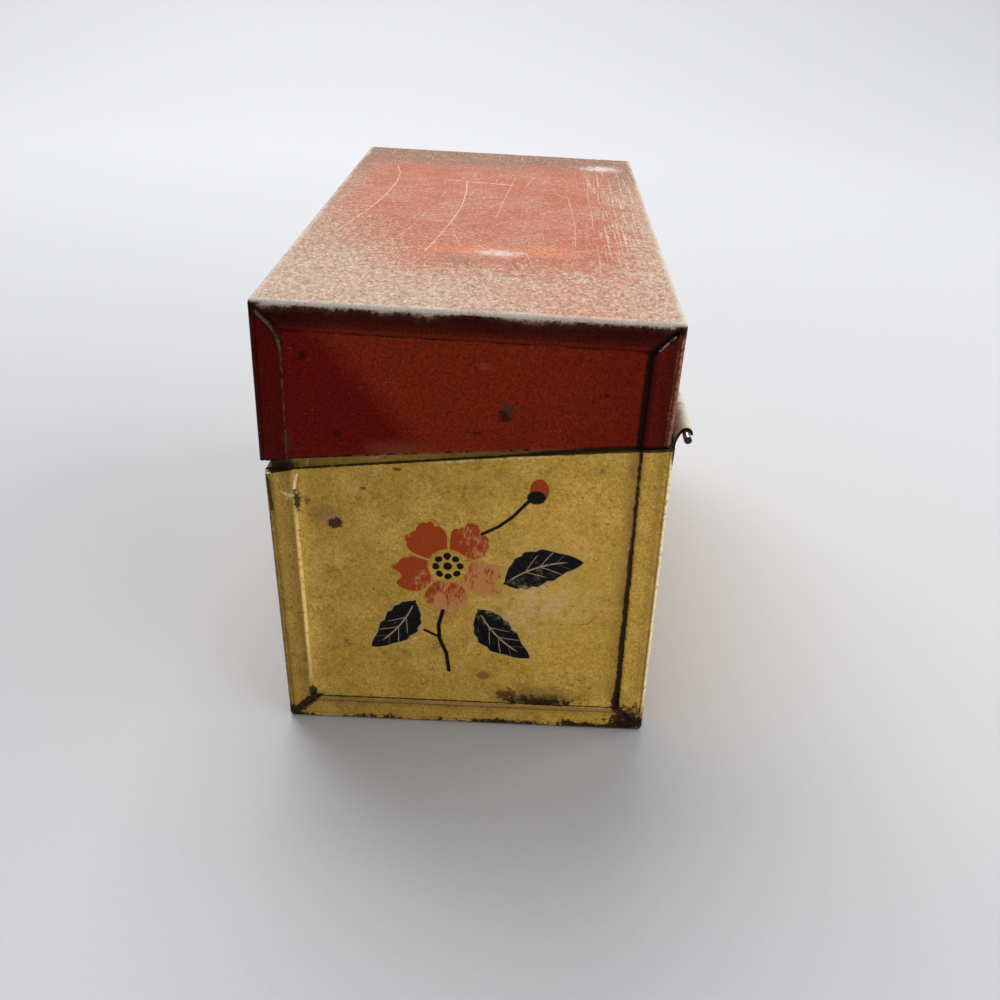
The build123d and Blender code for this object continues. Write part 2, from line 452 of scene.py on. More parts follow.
# End panels: a plate with lips turned in along the shell, and on the body a neck above the rim
endPanel = {
    "plate": -67.57,
    "fold": 0.6,
    "lipFree": 0.65,
    "lipDepth": 3.4,
    "lipStop": 1,
    "dents": (0.2, 0.03, 12),
    "neckFront": -35.77,
    "neckBack": 31.68,
    "neckTopBack": 25.18,
    "neckIn": 0.72,
    "neckFold": 0.22,
    "hemDepth": 0.8,
}
endPanels = {
    "body": {
        "x": (-36.57, 36.57),
        "z": (0.43, 80),  # before its rim is cut
        "dentZ": (0.43, 200),  # no fade towards the open rim
        "up": 1,
        "rise": 0,
        "slices": ((0, -36.57, 27.13, 13), (2, 0, 60, 12)),
        "cuts": (-35.77, 31.68),
        "seed": (1.3, 4.2, 9.1),
    },
    "lid": {
        "x": (-36.97, 35.87),
        "z": (50, 88.57),
        "dentZ": (0, 88.57),
        "up": -1,
        "rise": 0.3,
        "slices": ((0, -36.97, 35.87, 15), (2, 66, 89, 5)),
        "cuts": (),
        "seed": (6.3, 3.2, 2.1),
    },
}


def raiseNeck(bm):
    rim = rimEdges(
        bm,
        lambda c: c.y < endPanel["plate"] + box["touch"]
        and abs(c.z - rimHeight(c.x)) < hair
        and endPanel["neckFront"] - hair < c.x < endPanel["neckBack"] + hair,
    )
    step = drawOut(bm, rim, (0, endPanel["neckIn"], 0))
    top = drawOut(bm, step, (0, 0, box["neckHeight"]))
    for vert in {v for e in top for v in e.verts}:
        if vert.co.x > endPanel["neckTopBack"] + box["touch"]:
            vert.co.x = endPanel["neckTopBack"]
            vert.co.z = rimHeight(vert.co.x) + box["neckHeight"]
    hem = drawOut(bm, top, (0, endPanel["hemDepth"], 0))
    drawOut(bm, hem, (0, 0, -box["hemHeight"]))
    roundOff(bm, rim + step + top + hem, endPanel["neckFold"])


def makeEndPanel(name, part, node, paint, far):
    panel = endPanels[part]
    up = panel["up"]
    low = (panel["x"][0], endPanel["plate"], panel["z"][0])
    high = (panel["x"][1], endPanel["plate"] + endPanel["lipDepth"], panel["z"][1])
    bm = openBox(low, high, [(0, 0, up), (0, 1, 0)])
    roundOff(bm, squareEdges(bm), endPanel["fold"], box["foldSteps"], True)
    lipRise = panel["rise"] - up * endPanel["lipStop"]
    lipY = endPanel["plate"] + endPanel["lipFree"]
    sliceRim(bm, lipRise)
    sliceRim(bm, panel["rise"], "above" if up > 0 else "below")
    dropFaces(bm, lambda c: c.y > lipY and up * (c.z - rimHeight(c.x) - lipRise) > 0)
    for row in panel["slices"]:
        sliceEvenly(bm, *row)
    for x in panel["cuts"]:
        cutAt(bm, (x, 0, 0), (1, 0, 0))
    low, high = ((x, y, z) for x, y, z in zip(panel["x"], (low[1], -low[1]), panel["dentZ"]))
    seed = Vector(panel["seed"]) + Vector((0, 0, far))
    dentSheet(bm, low, high, endPanel["dents"], seed)
    if part == "body":
        raiseNeck(bm)
    finishSheet(bm, name, part, node, paint, (0, 1 if far else -1, 0))


# Hinge pin: one wire, a little bent between the knuckles
pin = {
    "radius": 0.7,
    "near": -70,
    "far": 67.5,
    "sides": 24,
    "steps": 48,
    "endRound": 0.14,
    "bend": 0.04,
    "bendScale": 0.06,
}


def makePin():
    bm = bmesh.new()
    bmesh.ops.create_circle(bm, cap_ends=True, radius=pin["radius"], segments=pin["sides"])
    bmesh.ops.rotate(bm, cent=(0, 0, 0), matrix=Matrix.Rotation(pi / 2, 3, "X"), verts=bm.verts)
    bmesh.ops.translate(bm, vec=(hinge["x"], pin["near"], hinge["z"]), verts=bm.verts)
    made = bmesh.ops.extrude_face_region(bm, geom=bm.faces[:])["geom"]
    verts = [v for v in made if isinstance(v, bmesh.types.BMVert)]
    bmesh.ops.translate(bm, vec=(0, pin["far"] - pin["near"], 0), verts=verts)
    sliceEvenly(bm, 1, pin["near"], pin["far"], pin["steps"])
    roundOff(bm, squareEdges(bm), pin["endRound"])
    for vert in bm.verts:
        y = vert.co.y * pin["bendScale"]
        vert.co.x += pin["bend"] * noise.noise(Vector((0.3, y, 1.7)))
        vert.co.z += pin["bend"] * noise.noise(Vector((4.1, y, 9.2)))
    bmesh.ops.recalc_face_normals(bm, faces=bm.faces)
    finishPiece(bm, "hingePin", "body", "hinge_pin", "pin_wire", pinSteel)


# Paints: every pattern is laid out in millimetres of the shut box, so it runs on over its pieces


class NodePen:
    # shorthand for shader nodes; look holds the colours and rows that are called by name
    def __init__(self, name, look):
        self.material = bpy.data.materials.new(name)
        self.material.use_nodes = True
        self.tree = self.material.node_tree
        self.shader = self.tree.nodes["Principled BSDF"]
        self.look = look
        self.colour = None  # all that is painted so far
        self.place = self.tree.nodes.new("ShaderNodeTexCoord").outputs["Object"]

    def feed(self, socket, value):
        if isinstance(value, bpy.types.NodeSocket):
            self.tree.links.new(value, socket)
        else:
            socket.default_value = (*self.look[value], 1) if isinstance(value, str) else value

    def add(self, kind, sockets, output=0, **settings):
        node = self.tree.nodes.new(kind)
        for key, value in settings.items():
            setattr(node, key, value)
        for key, value in sockets.items():
            self.feed(node.inputs[key], value)
        return node.outputs[output]

    def calc(self, operation, *values, clamp=False):
        sockets = dict(enumerate(values))
        return self.add("ShaderNodeMath", sockets, operation=operation, use_clamp=clamp)

    def vector(self, operation, *values, output=0, **sockets):
        sockets.update(enumerate(values))
        return self.add("ShaderNodeVectorMath", sockets, output, operation=operation)

    def level(self, value):
        # a mask is a level, or the value, start and end of a fade
        return self.fade(*value) if isinstance(value, tuple) else value

    def chain(self, operation, values):
        result = self.level(values[0])
        for value in values[1:]:
            result = self.calc(operation, result, self.level(value))
        return result

    def times(self, *values):
        return self.chain("MULTIPLY", values)

    def plus(self, *values):
        return self.chain("ADD", values)

    def most(self, *values):
        return self.chain("MAXIMUM", values)

    def least(self, *values):
        return self.chain("MINIMUM", values)

    def middleOf(self, one, two, three):
        return self.most(self.least(one, two), self.least(self.most(one, two), three))

    def minus(self, one, two):
        return self.calc("SUBTRACT", one, two)

    def unless(self, mask):
        return self.minus(1, mask)

    def unsigned(self, value):
        return self.calc("ABSOLUTE", value)

    def gap(self, value, at):
        return self.unsigned(self.minus(value, at))

    def scaled(self, value, slope, start):
        return self.calc("MULTIPLY_ADD", value, slope, start)

    def blend(self, share, one, two):
        return self.scaled(share, self.minus(two, one), one)

    def sway(self, value, *waves):
        # the value, moved to and fro by noises, each followed by its amount
        for wave, amount in zip(waves[::2], waves[1::2]):
            value = self.scaled(self.minus(wave, 0.5), amount, value)
        return value

    def split(self, place):
        return self.add("ShaderNodeSeparateXYZ", {0: place}).node.outputs

    def join(self, *values):
        return self.add("ShaderNodeCombineXYZ", dict(enumerate(values)))

    def measureBox(self, opened=0):
        # turns the place from Object coordinates into millimetres of the shut box
        about = (hinge["x"], 0, hinge["z"])
        sockets = {"Vector": self.place, "Location": tuple(c * mm for c in about)}
        sockets.update({"Rotation": (0, radians(opened), 0), "Scale": (mm, mm, mm)})
        turned = self.add("ShaderNodeMapping", sockets, vector_type="TEXTURE")
        self.place = self.vector("ADD", turned, about)
        return self.split(self.place)

    def measureEnds(self, x, y, z):
        # the way in from an end, up from the rim, and across an end as one faces it; its right half
        reachY = self.most(self.minus(box["end"], self.unsigned(y)), 0)
        aboveRim = self.minus(z, self.scaled(x, rimSlope, rimHeight(0)))
        facing = self.times(x, self.calc("SIGN", y), -1)
        return reachY, aboveRim, facing, self.fade(facing, -0.5, 0.5)

    def fade(self, value, start, end, low=0, high=1):
        sockets = {"Value": value, "From Min": start, "From Max": end, "To Min": low, "To Max": high}
        return self.add("ShaderNodeMapRange", sockets, interpolation_type="SMOOTHSTEP")

    def ramp(self, value, row):
        # a level that eases from stop to stop of a row
        stops = self.look[row]
        low, high = stops[0][0], stops[-1][0]
        share = self.add("ShaderNodeMapRange", {"Value": value, "From Min": low, "From Max": high})
        node = self.add("ShaderNodeValToRGB", {0: share}).node
        node.color_ramp.interpolation = "EASE"
        steps = node.color_ramp.elements
        steps.remove(steps[1])
        for place, level in stops:
            step = steps[0] if place == low else steps.new((place - low) / (high - low))
            step.color = (level, level, level, 1)
        return node.outputs[0]

    def noise(self, scale, detail=3, rough=0.55, stretch=None, shift=None, place=None):
        place = place or self.place
        if stretch:
            place = self.vector("MULTIPLY", place, stretch)
        if shift:
            place = self.vector("ADD", place, shift)
        sockets = {"Vector": place, "Scale": scale, "Detail": detail, "Roughness": rough}
        return self.add("ShaderNodeTexNoise", sockets)

    def mix(self, share, one, two):
        share = self.level(share)
        return self.add("ShaderNodeMix", {0: share, 6: one, 7: two}, 2, data_type="RGBA")

    def over(self, colour, tone, *masks):
        # one colour over another, as thick as its masks together
        return self.mix(self.times(*masks), colour, tone)

    def coat(self, tone, *masks):
        self.colour = self.over(self.colour, tone, *masks)

    def dim(self, level, *masks):
        level = self.blend(self.times(*masks), 1, level) if masks else level
        self.colour = self.vector("SCALE", self.colour, Scale=level)

    def spot(self, place, centre, size, ragged=None, soft=0.5):
        # 1 inside an ellipse, whose edge a noise can tear
        offset = self.vector("DIVIDE", self.vector("SUBTRACT", place, (*centre, 0)), (*size, 1))
        reach = self.vector("LENGTH", offset, output=1)
        if ragged:
            reach = self.plus(reach, ragged)
        return self.fade(reach, 1, 1 - soft)

    def stroke(self, place, points, width, soft=0.5):
        # 1 along a line through points
        nearest = None
        for start, end in zip(points, points[1:]):
            along = Vector((*end, 0)) - Vector((*start, 0))
            offset = self.vector("SUBTRACT", place, (*start, 0))
            share = self.vector("DOT_PRODUCT", offset, along / along.length_squared, output=1)
            on = self.vector("SCALE", along, Scale=self.calc("ADD", share, 0, clamp=True))
            gap = self.vector("DISTANCE", offset, on, output=1)
            nearest = self.least(nearest, gap) if nearest else gap
        return self.fade(nearest, width / 2, width / 2 * (1 - soft))

    def nicks(self, place, pitch, length, width, share, slant=pi):
        # short straight scratches, at most one to a cell, each its own way round
        sockets = {"Vector": place, "Scale": 1 / pitch}
        cells = self.add("ShaderNodeTexVoronoi", sockets, voronoi_dimensions="2D").node
        draw = self.split(cells.outputs["Color"])
        offset = self.vector("SUBTRACT", place, cells.outputs["Position"])
        sockets = {"Vector": offset, "Angle": self.times(self.minus(draw[0], 0.5), slant)}
        turned = self.split(self.add("ShaderNodeVectorRotate", sockets, rotation_type="Z_AXIS"))
        half = self.scaled(draw[2], length / 2, length / 8)
        over = self.minus(self.unsigned(turned[0]), half)
        thin = (self.unsigned(turned[1]), width / 2, width / 5)
        return self.times((over, 0, -length / 4), thin, self.calc("LESS_THAN", draw[1], share))

    def drawSpots(self, row, place, tear, where):
        for centre, size, ragged, soft, tone, strength in self.look[row]:
            spot = self.spot(place, centre, size, self.times(tear, ragged), soft)
            self.coat(tone, spot, where, strength)

    def drawLines(self, row, place, where):
        for points, width, tone, strength in self.look[row]:
            self.coat(tone, self.stroke(place, points, width), where, strength)

    def shadeFlanges(self, onEnd, rightward, reachX, reachEdge, flange):
        # painted shade and highlight across the flanges' rounded edges; gives where the upright ones are
        sides = self.fade(self.minus(reachEdge, reachX), -0.3, 0.3)
        tone = self.blend(rightward, self.ramp(reachX, "leftTone"), self.ramp(reachX, "rightTone"))
        tone = self.blend(sides, self.ramp(reachEdge, "edgeTone"), tone)
        self.dim(tone, onEnd, flange)
        return sides

    def rubSides(self, tone, onEnd, blotch, strength):
        # handling has rubbed the long sides
        rubs = self.noise(1, 4, 0.75, (1, 0.07, 1.5))
        self.coat(tone, (rubs, 0.56, 0.64), self.unless(onEnd), (blotch, 0.48, 0.6), strength)

    def pastCut(self, y):
        return self.fade(self.unsigned(y), hinge["endCut"], hinge["endCut"] + 0.1)

    def finish(self, roughness, height=None, metallic=0):
        self.feed(self.shader.inputs["Base Color"], self.colour)
        self.feed(self.shader.inputs["Roughness"], roughness)
        self.feed(self.shader.inputs["Metallic"], metallic)
        self.shader.inputs["Specular IOR Level"].default_value = self.look["specular"]
        if height:
            bump = {"Height": height, "Distance": self.look["relief"] * mm}
            self.feed(self.shader.inputs["Normal"], self.add("ShaderNodeBump", bump))
        return self.material


# Body paint: mustard, with the dirt and rust of an old kitchen tin, and painted light and shade
bodyLook = {
    "mustard": (0.505, 0.296, 0.047),
    "mustardPale": (0.6, 0.366, 0.074),
    "olive": (0.29, 0.162, 0.028),
    "brown": (0.15, 0.07, 0.018),
    "ridge": (0.98, 0.68, 0.25),
    # dirt, and the dark colour of painted shade in seams, gaps and notches
    "dirt": (0.012, 0.0045, 0.001),
    "rust": (0.075, 0.033, 0.01),
    "darkRust": (0.016, 0.007, 0.003),
    "maroon": (0.034, 0.0085, 0.004),
    "cream": (0.72, 0.59, 0.36),
    "foldCream": (0.92, 0.77, 0.48),
    "pinkish": (0.34, 0.2, 0.11),
    "petal": (0.35, 0.046, 0.006),
    "petalPink": (0.55, 0.225, 0.072),
    "ink": (0.003, 0.0022, 0.0022),
    "vein": (0.42, 0.31, 0.2),
    "specular": 0.13,
    "relief": 0.12,
    # painted light and shade across an end, across its flanges left, right and at the foot, and painted
    # shade with grime on the neck
    "endPaintedLight": ((-37, 0.88), (-16, 0.93), (4, 1.04), (20, 1.2), (30, 1.14), (37, 1.1)),
    "leftTone": ((0, 0.3), (0.7, 0.68), (2, 0.98), (3.4, 0.82), (4.4, 0.66), (5, 0.85)),
    "rightTone": ((0, 1), (1.2, 0.82), (2, 0.8), (3, 1.02), (4.2, 1.1), (5.2, 1.16)),
    "edgeTone": ((0, 0.78), (1.2, 1), (3.2, 0.95), (4.2, 0.78), (4.9, 0.58)),
    "neckShadeAndGrime": ((-37, 0.03), (-34.5, 0.05), (-31.5, 0.44), (-12, 0.6), (4, 0.34), (16, 0.05)),
    # how wide the painted shade line at the rim is, across an end
    "rimWide": ((-37, 0.4), (-32, 0.05), (8, 0.08), (20, 0.34), (37, 0.5)),
    # where the seams' painted shade and highlight lines lie, from the box's edge, and how wide or strong
    # they are further up
    "darkSeamAt": 5.82,
    "darkSeamWide": ((4, 0.62), (12, 0.46), (38, 0.34), (50, 0.22), (64, 0.16)),
    "ridgeAt": 5.22,
    "ridgeReach": ((8, 0), (11, 0.5), (24, 1), (42, 0.9), (51, 0.5), (53, 0.1)),
    # painted shade and highlight lines along the foot: place, width, colour, strength
    "footShadeAndHighlight": ((5.66, 0.24, "dirt", 0.92), (5.08, 0.3, "pinkish", 0.55), (4.72, 0.18, "dirt", 0.45)),
    # centre, half size, raggedness, softness, colour, strength
    "panelGlow": [((18, 36), (17, 22), 0.3, 0.9, "mustardPale", 0.55)],
    "panelSpots": [
        ((-26.5, 49.5), (5, 3.8), 0.9, 0.9, "brown", 0.45),
        ((-24.9, 48.6), (2.6, 2.4), 1.6, 0.6, "pinkish", 0.45),
        ((-24.5, 47.8), (1.5, 1.5), 1, 0.3, "maroon", 0.92),
        ((-29.6, 52.4), (0.7, 1), 1.8, 0.4, "brown", 0.8),
        ((-19, 55.4), (0.8, 0.4), 0.8, 0.3, "brown", 0.9),
        ((-12.6, 59.6), (0.9, 0.45), 0.8, 0.3, "rust", 0.8),
        ((3.6, 12.6), (1.7, 1.4), 0.5, 0.5, "brown", 0.7),
        ((15, 7.6), (12.5, 4.6), 0.8, 0.8, "brown", 0.55),
        ((15, 6.6), (9.8, 2), 1.2, 0.6, "rust", 0.8),
        ((8.6, 7.8), (2.8, 1.9), 1.4, 0.6, "rust", 0.85),
        ((15.6, 6.2), (8, 1.3), 2.2, 0.5, "darkRust", 0.85),
    ],
    "panelLines": [
        (((25.3, 43.6), (25, 41), (24.3, 41.9)), 0.34, "brown", 0.7),
        (((18.5, 26.2), (24, 26.6), (25.8, 28.6)), 0.3, "brown", 0.7),
    ],
    "flakes": [
        (((-31, 57.8), (-31.5, 56.4), (-31.7, 55)), 0.55, "foldCream", 0.75),
        (((-34.2, 54.4), (-33.2, 53.8), (-31.9, 53.6)), 0.35, "cream", 0.6),
        (((-30.6, 57.6), (-31.1, 55.6), (-31, 51)), 0.24, "brown", 0.8),
        (((-36.5, 57), (-36.2, 50.4)), 0.8, "maroon", 0.85),
    ],
    "flangeSpots": [
        # the first spot is a painted shadow in the notch at the neck's left end
        ((-35.4, 59.4), (2.6, 1.6), 0.8, 0.8, "dirt", 0.98),
        ((-36.9, 58.1), (1.4, 0.32), 0.3, 0.4, "foldCream", 0.9),
        ((-32.6, 53.6), (1.5, 1), 2.2, 0.8, "cream", 0.5),
        ((-31.4, 52.6), (0.7, 2.6), 2.6, 0.3, "darkRust", 0.9),
        ((33.6, 3), (4.6, 4.2), 1.6, 0.4, "rust", 0.9),
        ((34, 2.4), (4, 3.2), 2.2, 0.5, "darkRust", 0.9),
        ((31, 7.4), (1, 3), 0.8, 0.4, "darkRust", 0.9),
        ((-31.7, 7), (0.9, 1.7), 0.6, 0.4, "darkRust", 0.9),
    ],
}
spray = {
    "centre": (-3.5, 39),
    "radius": 11.4,
    "stamens": 8,
    "ring": 2.3,
    "leaves": (
        ((7.5, 35.5), (22.5, 41), 4.6, 0.2),
        ((2.5, 29), (13, 17.5), 4.4, -0.18),
        ((-10, 30.5), (-19, 18.8), 4.1, 0.16),
    ),
    "stems": (
        (((-5.2, 22), (-8.2, 23.6)), 0.7),
        (((-4.5, 28.5), (-5.4, 25), (-5.2, 21.5), (-3.9, 18), (-3.4, 13.6)), 0.95),
        (((3, 46.5), (6, 48.2), (8.6, 50.4), (12, 54.5)), 0.8),
    ),
    "bud": (13.4, 56.2),
}


def drawLeaf(pen, place, base, tip, width, bend):
    # an oval leaf with a few blunt teeth, its midrib and side veins left bare
    start = Vector((*base, 0))
    along = Vector((*tip, 0)) - start
    length = along.length
    across = Vector((-along.y, along.x, 0)) / length**2
    offset = pen.vector("SUBTRACT", place, start)
    run = pen.vector("DOT_PRODUCT", offset, along / length**2, output=1)
    side = pen.vector("DOT_PRODUCT", offset, across, output=1)
    inside = pen.calc("ADD", run, 0, clamp=True)
    belly = pen.times(inside, pen.unless(inside), 4)
    spread = pen.unsigned(pen.scaled(belly, -bend / 2, side))
    teeth = pen.times(pen.calc("PINGPONG", pen.plus(run, spread), 0.09), 0.38, belly)
    outline = pen.times(pen.calc("POWER", belly, 0.72), width / length, (run, 1.1, -0.2, 0.55, 1.1))
    over = pen.minus(spread, pen.plus(outline, teeth))
    edge = pen.times((over, 0.022, 0.008), (belly, 0.02, 0.12))
    midrib = pen.times((spread, 0.015, 0.005), (run, 0.06, 0.12), (run, 0.84, 0.72))
    slope = pen.scaled(spread, -1.3, run)
    rib = pen.gap(pen.calc("FRACT", pen.times(slope, 5.2)), 0.5)
    inBlade = (spread, width / length * 0.62, width / length * 0.5)
    ribs = pen.times((rib, 0.058, 0.026), inBlade, (slope, 0.1, 0.16), (slope, 0.7, 0.62))
    stalk = pen.stroke(place, (base, (start + along * 0.12)[:2]), 0.7)
    return pen.most((over, -0.001, -0.018), stalk), pen.most(midrib, ribs), edge


def drawSpray(pen, sheet, worn, mottle):
    # one open blossom, a bud and three leaves, printed on both end panels
    wobble = pen.noise(0.35, 2, place=sheet)
    across, up = pen.split(pen.vector("SUBTRACT", sheet, (*spray["centre"], 0)))[:2]
    angle = pen.plus(pen.calc("ARCTAN2", up, across), 0.35)
    reach = pen.calc("SQRT", pen.plus(pen.times(across, across), pen.times(up, up)))
    lobe = pen.unsigned(pen.calc("COSINE", pen.times(angle, 2.5)))
    outline = pen.scaled(pen.calc("POWER", lobe, 0.5), 0.5, 0.42)
    outline = pen.minus(outline, pen.fade(lobe, 0.95, 1, 0, 0.09))
    outline = pen.times(outline, pen.scaled(wobble, 0.5, 0.8), spray["radius"])
    petals = pen.times((pen.minus(reach, outline), 0.25, -0.25), (lobe, 0.07, 0.16), (reach, 3.5, 4.1))
    # the ink has rubbed off to pink, and then to nothing, on the lower right
    streaks = pen.noise(1.3, 4, 0.7, (1, 0.35, 1), place=sheet)
    rub = pen.sway(pen.scaled(pen.minus(across, up), 0.035, 0.42), worn, 1.5, streaks, 1.5)
    pen.coat(pen.mix((rub, 0.42, 0.72), "petal", "petalPink"), petals, (rub, 1.15, 0.8))
    # a ring of stamens
    each = 2 * pi / spray["stamens"]
    turns = pen.calc("FRACT", pen.scaled(angle, 1 / each, spray["stamens"] / 2))
    arc = pen.times(pen.minus(turns, 0.5), spray["ring"] * each)
    off = pen.minus(reach, pen.scaled(wobble, 1.2, 1.7))
    dots = pen.calc("SQRT", pen.plus(pen.times(arc, arc), pen.times(off, off)))
    ink = pen.most((dots, 0.82, 0.68), (reach, 0.95, 0.8))
    # the bud, its cup and the stems
    budX, budZ = spray["bud"]
    pen.coat("petal", pen.spot(sheet, spray["bud"], (1.9, 2.6), soft=0.12))
    ink = pen.most(ink, pen.spot(sheet, (budX - 0.5, budZ - 1.5), (1.9, 1.5), soft=0.15))
    for points, width in spray["stems"]:
        ink = pen.most(ink, pen.stroke(sheet, points, width, 0.3))
    veins = 0
    for leaf in spray["leaves"]:
        blade, lines, edge = drawLeaf(pen, sheet, *leaf)
        pen.coat("vein", edge, 0.5)
        ink = pen.most(ink, blade)
        veins = pen.most(lines, veins)
    pen.coat("ink", ink, (pen.noise(2.2, 3, 0.6, place=sheet), 0.69, 0.74, 1, 0.4))
    pen.coat("vein", ink, veins, (mottle, 0.2, 0.5), 0.9)


def makeBodyPaint(name, printed):
    pen = NodePen(name, bodyLook)
    x, y, z = pen.measureBox()
    reachY, aboveRim, facing, rightward = pen.measureEnds(x, y, z)
    reachX = pen.most(pen.minus(box["back"], pen.unsigned(x)), 0)
    ring = pen.least(reachX, z)
    onEnd = pen.fade(reachY, 2, 1)
    near = pen.times(onEnd, (y, 0, -1))
    leftward = pen.unless(rightward)
    sheet = pen.join(pen.blend(onEnd, y, facing), z, 0)

    blotch = pen.noise(0.16, 4, 0.62)
    smudge = pen.noise(0.42, 5, 0.72)
    mottle = pen.noise(0.9, 4, 0.66)
    fine = pen.noise(2.6, 3, 0.6)
    grain = pen.noise(2.1, 2, 0.8)
    tear = pen.sway(0, mottle, 1.3, fine, 0.9)

    # paint that has yellowed and smudged unevenly, painted light brighter towards an end's right side, and a
    # little darker towards the rim
    pen.colour = pen.mix((blotch, 0.42, 0.68), "mustard", "mustardPale")
    pen.coat("olive", (smudge, 0.5, 0.66), 0.42)
    pen.coat("brown", (pen.sway(smudge, mottle, 0.7), 0.66, 0.78), 0.55)
    pen.dim(pen.scaled(grain, 1.55, 0.215))
    pen.dim(pen.ramp(facing, "endPaintedLight"), onEnd)
    pen.dim(pen.fade(aboveRim, -16, -1, 1, 0.9))

    flange = pen.fade(ring, bodyShell["flange"] + 0.05, bodyShell["flange"] - 0.2)
    sides = pen.shadeFlanges(onEnd, rightward, reachX, z, flange)
    # painted light on the panel along the left flange's edge
    pen.dim(1.32, onEnd, sides, leftward, (reachX, 9, 5.6), (reachX, 5.2, 5.6))

    # the neck: painted shade and grime on the ends, where it lies under the lid, and grime on the front
    grimed = pen.fade(pen.sway(smudge, mottle, 0.8), 0.3, 0.7, 0.62, 0.25)
    neckShadeAndGrime = pen.blend(onEnd, grimed, pen.ramp(facing, "neckShadeAndGrime"))
    pen.dim(neckShadeAndGrime, (aboveRim, 0.02, 0.2), (x, box["back"] - 0.2, box["back"] - 0.6))

    if printed:
        # a painted pool of light over the panel's right half
        pen.drawSpots("panelGlow", sheet, tear, near)
        drawSpray(pen, sheet, blotch, mottle)

    # seams: a painted highlight on the worn ridge on the left, painted shade and soot on the right, painted
    # shade and highlight lines along the foot
    ridge = pen.times(onEnd, sides, leftward, (pen.gap(ring, bodyLook["ridgeAt"]), 0.5, 0.14))
    pen.coat("ridge", ridge, pen.ramp(z, "ridgeReach"), (mottle, 0.72, 0.5), 0.92)
    rightSeam = pen.times(onEnd, sides, rightward)
    pen.coat("brown", rightSeam, (ring, 9.4, 5.9), (ring, 5.5, 5.8), (blotch, 0.3, 0.7, 0.3, 0.75))
    crack = pen.sway(pen.gap(ring, bodyLook["darkSeamAt"]), mottle, 1, fine, 0.5)
    sootAndShade = pen.times(rightSeam, (pen.minus(crack, pen.ramp(z, "darkSeamWide")), 0.34, -0.06))
    pen.coat("dirt", sootAndShade, 0.95)
    below = pen.times(onEnd, pen.unless(sides))
    for at, wide, tone, strength in bodyLook["footShadeAndHighlight"]:
        line = pen.sway(pen.gap(pen.sway(ring, smudge, 0.3), at), mottle, 0.3)
        pen.coat(tone, below, (line, wide, wide / 4), strength)

    # mitres and lower edges have rusted
    mitre = pen.sway(pen.times(pen.gap(reachX, z), 0.7), tear, 1.2)
    mitre = pen.times((mitre, 0.5, 0.1), (ring, 6.6, 5.8), onEnd)
    corner = pen.times((pen.scaled(tear, 3, pen.plus(reachX, z)), 4.4, 3), onEnd)
    foot = pen.scaled(pen.least(reachX, reachY), 0.35, z)
    foot = pen.sway(pen.scaled(tear, 2.4, foot), blotch, 6)
    foot = pen.fade(pen.minus(foot, pen.fade(facing, -16, 28, 0, 0.9)), 1, 0.35)
    rusted = pen.most(mitre, corner, foot)
    rustColour = pen.mix((pen.sway(mottle, fine, 0.8), 0.5, 0.7), "darkRust", "rust")
    pen.coat(rustColour, rusted, 0.96)
    bloom = pen.sway(pen.noise(0.11, 5, 0.75, shift=(4, 0, 0)), fine, 0.1)
    pen.coat(rustColour, (bloom, 0.645, 0.67), pen.unless(onEnd), 0.9)
    pen.rubSides("cream", onEnd, blotch, 0.5)

    # worn folds, a painted highlight along the right end folds, and a painted shade line where the sheet
    # ends under the lid, with a painted highlight just below it
    worn = pen.sway(pen.middleOf(reachX, reachY, z), mottle, 1.6, blotch, 3)
    worn = pen.times((worn, 0.35, 0.1), (z, 2.5, 4), (aboveRim, 0.2, -0.2))
    pen.coat(pen.mix((fine, 0.4, 0.65), "darkRust", "cream"), worn, 0.8)
    bright = pen.sway(pen.most(reachX, reachY), mottle, 0.9)
    bright = pen.times((bright, 0.95, 0.2), (facing, 34, 35), (z, 5, 12))
    pen.coat("foldCream", bright, (aboveRim, -1, -3), (mottle, 0.66, 0.5), 0.9)
    rimLine = pen.minus(pen.sway(pen.gap(aboveRim, 0.02), mottle, 0.3), pen.ramp(facing, "rimWide"))
    creamRim = pen.times(onEnd, (pen.gap(aboveRim, -0.4), 0.3, 0.1), (mottle, 0.4, 0.6))
    pen.coat("cream", creamRim, (pen.gap(facing, 5), 14, 8), 0.5)
    pen.coat("dirt", (rimLine, 0.12, -0.04), (x, box["back"] + 0.2, box["back"] - 0.1), 0.92)

    # knuckles are cream, with grime in the laps, and black where the sheet was cut
    knuckleColour = pen.mix((smudge, 0.56, 0.72), "cream", "mustard")
    knuckleColour = pen.over(knuckleColour, "darkRust", (mottle, 0.64, 0.72))
    pen.coat(knuckleColour, (x, box["back"] + 0.1, box["back"] + 0.6))
    pen.coat("dirt", pen.pastCut(y), (x, 36.4, 36.8), (z, 62, 64))

